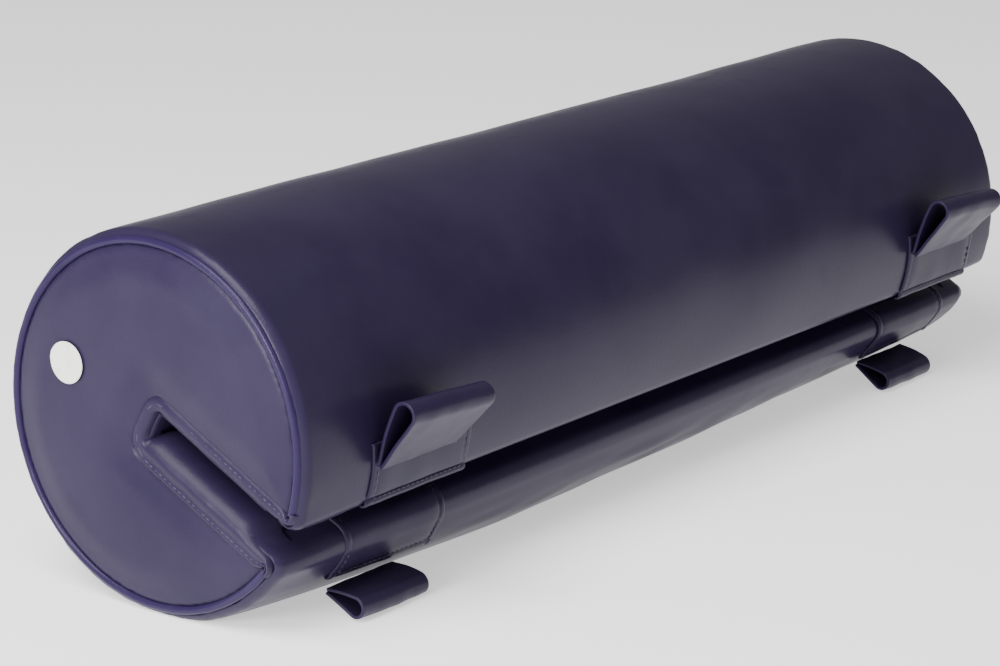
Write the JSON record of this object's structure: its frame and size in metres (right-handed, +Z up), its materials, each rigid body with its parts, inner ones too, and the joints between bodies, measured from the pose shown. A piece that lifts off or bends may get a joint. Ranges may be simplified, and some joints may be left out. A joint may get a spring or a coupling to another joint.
{
  "type": "bolster pillow",
  "caption": "Round foam bolster in a zipped vinyl cover, with a lengthwise slot that takes a board's edge and sewn strap loops on both jaws.",
  "frame": {"origin": "middle of the flat underside that the roll rests on, halfway along its length", "axes": "+X along the roll towards its right end, -Y to the front where the slot opens, +Z up"},
  "size_m": [0.6811, 0.2278, 0.1979],
  "materials": {
    "foam": "open-cell polyurethane foam, matt",
    "vinyl": "smooth upholstery vinyl, satin",
    "lining_vinyl": "smooth upholstery vinyl, satin",
    "piping_vinyl": "vinyl piping, satin",
    "strap_vinyl": "folded upholstery vinyl, satin",
    "badge": "plain sticker, satin",
    "zip_tape": "woven tape",
    "zip_coil": "nylon coil",
    "zip_metal": "nickel-plated, satin"
  },
  "bodies": {
    "cover": {"foam_core": "foam", "barrel_panel_upper": "vinyl", "barrel_panel_lower": "vinyl", "slot_lining_upper": "lining_vinyl", "slot_lining_lower": "lining_vinyl", "slot_lining_root": "lining_vinyl", "end_panel_left": "vinyl", "end_panel_right": "vinyl", "end_welt_left": "piping_vinyl", "end_welt_right": "piping_vinyl", "slot_binding_left": "lining_vinyl", "slot_binding_right": "lining_vinyl", "end_badge": "badge", "patch_upper_left": "vinyl", "patch_upper_right": "vinyl", "patch_lower_left": "vinyl", "patch_lower_right": "vinyl", "zip_tape_upper": "zip_tape", "zip_tape_lower": "zip_tape", "zip_coil_upper": "zip_coil", "zip_coil_lower": "zip_coil", "zip_stop_left": "zip_metal", "zip_stop_right": "zip_metal"},
    "loop_upper_left": {"loop_upper_left": "strap_vinyl"},
    "loop_upper_right": {"loop_upper_right": "strap_vinyl"},
    "loop_lower_left": {"loop_lower_left": "strap_vinyl"},
    "loop_lower_right": {"loop_lower_right": "strap_vinyl"},
    "zip_slider": {"zip_slider": "zip_metal"},
    "zip_pull": {"zip_pull": "zip_metal"}
  },
  "joints": [
    {"name": "loop_upper_left_hinge", "type": "hinge", "parent": "cover", "child": "loop_upper_left", "pos_m": [-0.2545, -0.10299, 0.08351], "axis": [1, 0, 0], "range_deg": [-15, 135]},
    {"name": "loop_upper_right_hinge", "type": "hinge", "parent": "cover", "child": "loop_upper_right", "pos_m": [0.258, -0.10369, 0.09], "axis": [1, 0, 0], "range_deg": [-15, 135]},
    {"name": "loop_lower_left_hinge", "type": "hinge", "parent": "cover", "child": "loop_lower_left", "pos_m": [-0.2585, -0.06793, 0.012], "axis": [-1, 0, 0], "range_deg": [0, 28]},
    {"name": "loop_lower_right_hinge", "type": "hinge", "parent": "cover", "child": "loop_lower_right", "pos_m": [0.254, -0.06546, 0.01512], "axis": [-1, 0, 0], "range_deg": [0, 36]},
    {"name": "zip_slide", "type": "slide", "parent": "cover", "child": "zip_slider", "axis": [1, 0, 0], "range_m": [0, 0.617]},
    {"name": "zip_pull_hinge", "type": "hinge", "parent": "zip_slider", "child": "zip_pull", "pos_m": [-0.3085, 0.09245, 0.05487], "axis": [0, 0.4226, 0.9063], "range_deg": [0, 165]}
  ]
}
